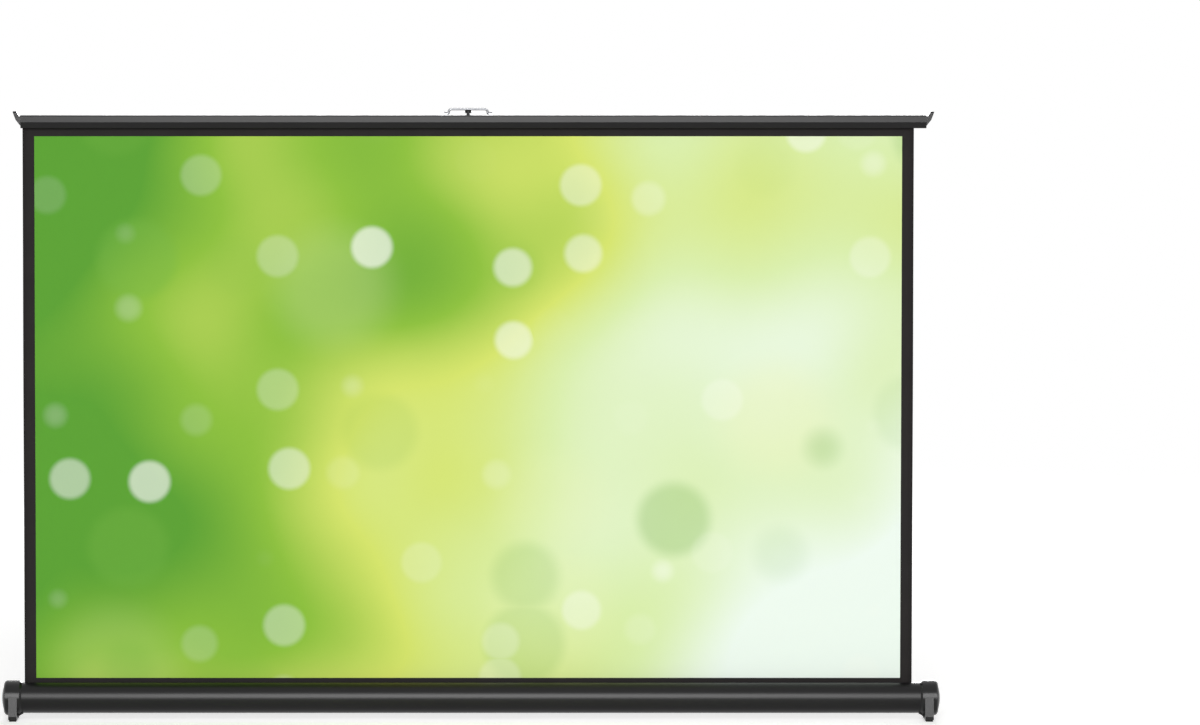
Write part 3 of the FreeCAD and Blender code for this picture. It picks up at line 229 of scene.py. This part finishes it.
def steel():
    """Plated steel with turning marks."""
    finish = Finish("steel", metallic=1.0)
    marks = finish.noise(scale=1800.0, detail=2.0)
    cloudy = finish.noise(scale=150.0, detail=3.0)
    finish.set("Base Color", finish.mix(cloudy, srgb(98, 98, 97), srgb(122, 122, 120)))
    finish.set("Roughness", finish.remap(marks, 0.38, 0.54))
    finish.bump(marks, depth=0.01 * MM, strength=0.3)
    return finish.material


def nylon():
    finish = Finish("nylon", specular_ior_level=0.4)
    cloudy = finish.noise(scale=90.0, detail=3.0)
    finish.set("Base Color", finish.mix(cloudy, srgb(214, 212, 204), srgb(228, 226, 219)))
    finish.set("Roughness", finish.remap(cloudy, 0.45, 0.6))
    return finish.material


def bright_chrome():
    """Polished plating with faint finger marks."""
    finish = Finish("bright_chrome", metallic=1.0)
    smudges = finish.noise(scale=110.0, detail=4.0)
    finish.set("Base Color", finish.mix(smudges, srgb(114, 115, 118), srgb(142, 143, 146)))
    finish.set("Roughness", finish.remap(smudges, 0.08, 0.18))
    return finish.material


# Width of one thread of the cloth
THREAD = 0.5 * MM


def weave(finish):
    """Height of a plain weave, 0 to 1, from the two sets of threads crossing over and under."""
    turns = math.pi / THREAD
    across = finish.calc("SINE", finish.calc("MULTIPLY", finish.axis("X"), turns))
    along = finish.calc("SINE", finish.calc("MULTIPLY", finish.axis("Z"), turns))
    crossing = finish.calc("MULTIPLY", across, along)
    return finish.calc("MULTIPLY_ADD", crossing, 0.5, 0.5)


# The painted projected picture's spots of light, and how far its colours wander and lean
SPOT_STRENGTH, SPOT_SCATTER = 0.6, 0.65
COLOUR_DRIFT, COLOUR_LEAN = 1.3, -0.3


def soft_light_spots(finish, projected_picture, scale, radius, softness, colour):
    """Lays round out-of-focus spots of light over a picture: one in each cell, some strong and some faint.
    Radius and softness are shares of a cell, and scale is cells to the metre."""
    inputs = {"Vector": finish.place, "Scale": scale, "Randomness": SPOT_SCATTER}
    cells = finish.add("TexVoronoi", inputs)
    spot = finish.step(cells.outputs["Distance"], radius + softness, radius - softness)
    chance = finish.add("SeparateXYZ", {0: cells.outputs["Color"]}).outputs["X"]
    weight = finish.calc("POWER", chance, 2.0)
    share = finish.calc("MULTIPLY", finish.calc("MULTIPLY", spot, weight), SPOT_STRENGTH)
    # painted projected light: each spot of the projected picture is painted into the cloth's colour
    return finish.mix(share, projected_picture, colour)


def picture_colours(finish):
    """Projector light painted into the cloth's colour: a projected picture of blurred summer light, greens
    at the left, yellow in the middle, pale at the right.
    """
    width, height = PICTURE_RIGHT - PICTURE_LEFT, PICTURE_HIGH - PICTURE_LOW
    across = finish.calc("DIVIDE", finish.calc("SUBTRACT", finish.axis("X"), PICTURE_LEFT), width)
    up = finish.calc("DIVIDE", finish.calc("SUBTRACT", finish.axis("Z"), PICTURE_LOW), height)
    wander = finish.noise(scale=2.6, detail=1.0)
    drift = finish.calc("MULTIPLY", finish.calc("SUBTRACT", wander, 0.5), COLOUR_DRIFT)
    lean = finish.calc("MULTIPLY", finish.calc("SUBTRACT", up, 0.5), COLOUR_LEAN)
    tone = finish.calc("ADD", finish.calc("ADD", across, drift), lean)
    # painted projection: the projected picture's colours, painted into the cloth's base colour
    projected_picture = finish.ramp(
        tone,
        [
            (0.0, srgb(92, 160, 52)),
            (0.22, srgb(140, 190, 62)),
            (0.45, srgb(212, 226, 108)),
            (0.7, srgb(216, 236, 172)),
            (1.0, srgb(238, 249, 240)),
        ],
    )
    for scale, radius, softness, colour in (
        (4.0, 0.3, 0.12, srgb(236, 242, 186)),
        (6.0, 0.3, 0.06, srgb(120, 180, 70)),
        (11.0, 0.28, 0.05, srgb(248, 252, 240)),
    ):
        projected_picture = soft_light_spots(finish, projected_picture, scale, radius, softness, colour)
    return projected_picture


BORDER_BLUR = 0.15 * MM


def cloth_front():
    """Matte white coating with the projected picture painted into its colour, inside black borders."""
    finish = Finish("cloth_front", roughness=0.85, specular_ior_level=0.15)
    inside = 1.0
    for letter, start, toward in (
        ("X", PICTURE_LEFT, 1),
        ("X", PICTURE_RIGHT, -1),
        ("Z", PICTURE_LOW, 1),
        ("Z", PICTURE_HIGH, -1),
    ):
        blur = toward * BORDER_BLUR
        past = finish.step(finish.axis(letter), start - blur, start + blur)
        inside = finish.calc("MULTIPLY", past, inside)
    cloudy = finish.noise(scale=30.0, detail=4.0)
    border = finish.mix(cloudy, srgb(36, 34, 34), srgb(44, 41, 41))
    # painted projection: inside the borders the projector's light is painted into the white cloth's colour
    finish.set("Base Color", finish.mix(inside, border, picture_colours(finish)))
    finish.bump(weave(finish), depth=0.02 * MM, strength=0.3)
    return finish.material


def cloth_back():
    """Black-out backing: woven, dark charcoal, a little uneven."""
    finish = Finish("cloth_back", roughness=0.8, specular_ior_level=0.2)
    cloudy = finish.noise(scale=9.0, detail=5.0)
    finish.set("Base Color", finish.mix(cloudy, srgb(52, 49, 48), srgb(64, 60, 59)))
    finish.bump(weave(finish), depth=0.04 * MM, strength=0.5)
    return finish.material


def paint_solids():
    """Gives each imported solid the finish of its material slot."""
    makers = (
        black_aluminium,
        black_plastic,
        disc_plastic,
        foot_rubber,
        black_steel,
        steel,
        nylon,
        bright_chrome,
    )
    finishes = {maker.__name__: maker() for maker in makers}
    for part in frame["record"]["subparts"]:
        if part["material_slot"] in finishes:
            nodes[part["node"]].material_slots[0].material = finishes[part["material_slot"]]


# Cloth

# Columns and rows of faces in its two pieces
RAISED_GRID = (120, 90)
WOUND_GRID = (1, 36)


def sheet_object(name, grid, place, thickness, materials):
    """A closed sheet. place gives, for shares across and along, a point of its middle and the way its front
    faces. The first material is on the front, the second on the back and the edges."""
    columns, rows = grid
    front, back = [], []
    for row in range(rows + 1):
        for column in range(columns + 1):
            point, facing = place(column / columns, row / rows)
            front.append(point + facing * (thickness / 2))
            back.append(point - facing * (thickness / 2))

    def spot(column, row):
        return row * (columns + 1) + column

    faces = []
    for row in range(rows):
        for column in range(columns):
            faces.append(
                (spot(column, row), spot(column + 1, row), spot(column + 1, row + 1), spot(column, row + 1))
            )
    front_faces = len(faces)
    behind = len(front)
    faces += [tuple(behind + corner for corner in reversed(face)) for face in faces]
    rim = [spot(column, 0) for column in range(columns)]
    rim += [spot(columns, row) for row in range(rows)]
    rim += [spot(column, rows) for column in range(columns, 0, -1)]
    rim += [spot(0, row) for row in range(rows, 0, -1)]
    for start, end in zip(rim, rim[1:] + rim[:1]):
        faces.append((end, start, behind + start, behind + end))
    mesh = bpy.data.meshes.new(name)
    mesh.from_pydata(front + back, [], faces)
    for material in materials:
        mesh.materials.append(material)
    for index, face in enumerate(mesh.polygons):
        face.material_index = 0 if index < front_faces else 1
        face.use_smooth = index < 2 * front_faces
    piece = bpy.data.objects.new(name, mesh)
    bpy.context.scene.collection.objects.link(piece)
    return piece


# The free cloth curls and sags between these shares of its height, and is held straight below and above
SLACK_START, SLACK_END = 0.28, 0.84
EDGE_CURL, CURL_WIDTH = 2.2 * MM, 45 * MM
SLACK = 0.5 * MM

# Two crossing waves of the slack, in radians across the cloth and up it
RIPPLES = ((5.3, 2.1), (7.9, 3.1))

# The cloth leaves the roll from its outer layer and comes to its own plane over this height
LAP, LAP_HEIGHT = 1.05 * CLOTH_THICKNESS, 90 * MM


def raised_cloth(share_across, share_up):
    """The cloth between roller and bar: its side edges curl forward and it is not quite even."""
    x = cloth_low.x + share_across * (cloth_high.x - cloth_low.x)
    z = AXIS_Z + share_up * (CLOTH_TOP - AXIS_Z)
    free = (z - tube_high.z) / (bar_low.z - tube_high.z)
    slack_share = min(1.0, max(0.0, (free - SLACK_START) / (SLACK_END - SLACK_START)))
    loose = math.sin(math.pi * slack_share) ** 2
    lap = LAP * max(0.0, 1 - ((z - AXIS_Z) / LAP_HEIGHT) ** 2)
    to_edge = min(x - cloth_low.x, cloth_high.x - x)
    curl = max(0.0, 1 - to_edge / CURL_WIDTH) ** 2
    ripple = 1.0
    for turns_across, turns_up in RIPPLES:
        ripple *= math.sin(turns_across * share_across + turns_up * share_up)
    y = CLOTH_Y + lap - loose * (EDGE_CURL * curl + SLACK * ripple)
    return Vector((x, y, z)), Vector((0, -1, 0))


WOUND_TURN = math.radians(270)


def wound_cloth(share_across, share_along):
    """The first turn of cloth on the roller, from its loose end to where the raised cloth leaves it."""
    angle = (share_along - 1) * WOUND_TURN
    outward = Vector((0, math.cos(angle), math.sin(angle)))
    x = cloth_low.x + share_across * (cloth_high.x - cloth_low.x)
    return Vector((x, 0, AXIS_Z)) + outward * CLOTH_Y, outward * -1


def make_cloth():
    finishes = [cloth_front(), cloth_back()]
    raised = sheet_object("raised_cloth", RAISED_GRID, raised_cloth, CLOTH_THICKNESS, finishes)
    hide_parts("screen_cloth")
    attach(raised, "case")
    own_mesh(raised)
    wound = sheet_object("wound_cloth", WOUND_GRID, wound_cloth, CLOTH_THICKNESS, finishes[1:] * 2)
    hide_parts("screen_cloth")
    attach(wound, "roller")


# Stage

# How strongly the world lights the object, and how much the floor is whitened where it is seen or mirrored
WORLD_FILL, FLOOR_LIFT = 0.25, 0.42
FLOOR_REACH = 4.5


def soft_box(name, place, target, size, power):
    """A large soft lamp that the camera doesn't see."""
    light = bpy.data.lights.new(name, "AREA")
    light.shape = "RECTANGLE"
    light.size, light.size_y = size
    light.energy = power
    lamp = bpy.data.objects.new(name, light)
    lamp.location = place
    lamp.rotation_euler = (Vector(target) - Vector(place)).to_track_quat("-Z", "Y").to_euler()
    lamp.visible_camera = False
    bpy.context.scene.collection.objects.link(lamp)


def make_world():
    """White where it is seen or mirrored, and weaker where it only lights the object."""
    world = bpy.data.worlds.new("studio")
    bpy.context.scene.world = world
    world.use_nodes = True
    tree = world.node_tree
    rays = tree.nodes.new("ShaderNodeLightPath")
    level = None
    for name in ("Is Camera Ray", "Is Glossy Ray", "Is Transmission Ray"):
        total = tree.nodes.new("ShaderNodeMath")
        total.operation = "MAXIMUM"
        tree.links.new(rays.outputs[name], total.inputs[0])
        if level is None:
            total.inputs[1].default_value = WORLD_FILL
        else:
            tree.links.new(level, total.inputs[1])
        level = total.outputs[0]
    backdrop = tree.nodes["Background"]
    backdrop.inputs["Color"].default_value = (1, 1, 1, 1)
    tree.links.new(level, backdrop.inputs["Strength"])


def make_floor():
    """A pale sheet that fades out towards its edge, so that no horizon shows."""
    mesh = bpy.data.meshes.new("floor")
    corners = [(x * FLOOR_REACH, y * FLOOR_REACH, 0) for x, y in ((-1, -1), (1, -1), (1, 1), (-1, 1))]
    mesh.from_pydata(corners, [], [(0, 1, 2, 3)])
    floor = bpy.data.objects.new("floor", mesh)
    bpy.context.scene.collection.objects.link(floor)
    paper = Finish("floor_paper", roughness=0.9, specular_ior_level=0.1)
    paper.set("Base Color", paper.mix(paper.noise(scale=3.0), srgb(242, 242, 241), srgb(246, 246, 245)))
    distance = paper.add("VectorMath", {0: paper.place}, operation="LENGTH").outputs["Value"]
    fade = paper.step(distance, FLOOR_REACH / 3, FLOOR_REACH)
    rays = paper.add("LightPath").outputs
    seen = paper.calc("MAXIMUM", rays["Is Camera Ray"], rays["Is Glossy Ray"])
    seen = paper.calc("MAXIMUM", seen, rays["Is Transmission Ray"])
    paper.set("Emission Color", (1, 1, 1, 1))
    paper.set("Emission Strength", paper.calc("MULTIPLY", seen, FLOOR_LIFT))
    surface = paper.add("MixShader", {0: fade, 1: paper.surface.outputs[0]})
    paper.give(surface.inputs[2], paper.add("BsdfTransparent").outputs[0])
    paper.give(paper.tree.nodes["Material Output"].inputs["Surface"], surface.outputs[0])
    mesh.materials.append(paper.material)


def make_lamps():
    soft_box("front_box", place=(0, -6.5, 2.4), target=(0, 0, 0.3), size=(2.6, 3.6), power=330)
    soft_box("rear_box", place=(0.4, 6.5, 1.3), target=(0, 0, 0.4), size=(2.6, 2.2), power=290)


def make_camera():
    """Looks at the front from a little above, with the photograph's middle row in the middle."""
    camera = bpy.data.cameras.new("camera")
    view = bpy.data.objects.new("camera", camera)
    bpy.context.scene.collection.objects.link(view)
    target = Vector((0, CLOTH_Y, (TABLE_ROW - PHOTO_HEIGHT / 2) * METRES_PER_PIXEL))
    away = Vector((0, -math.cos(CAMERA_PITCH), math.sin(CAMERA_PITCH)))
    view.location = target + away * CAMERA_DISTANCE
    view.rotation_euler = (math.radians(90) - CAMERA_PITCH, 0, 0)
    camera.sensor_width = SENSOR_WIDTH_MM
    camera.lens = SENSOR_WIDTH_MM * CAMERA_DISTANCE / (PHOTO_WIDTH * METRES_PER_PIXEL)
    camera.shift_x = (PHOTO_WIDTH / 2 - CASE_COLUMN) / PHOTO_WIDTH
    camera.clip_end = CAMERA_REACH
    bpy.context.scene.camera = view


bpy.context.scene.view_settings.view_transform = "Standard"
paint_solids()
make_cloth()
make_world()
make_floor()
make_lamps()
make_camera()
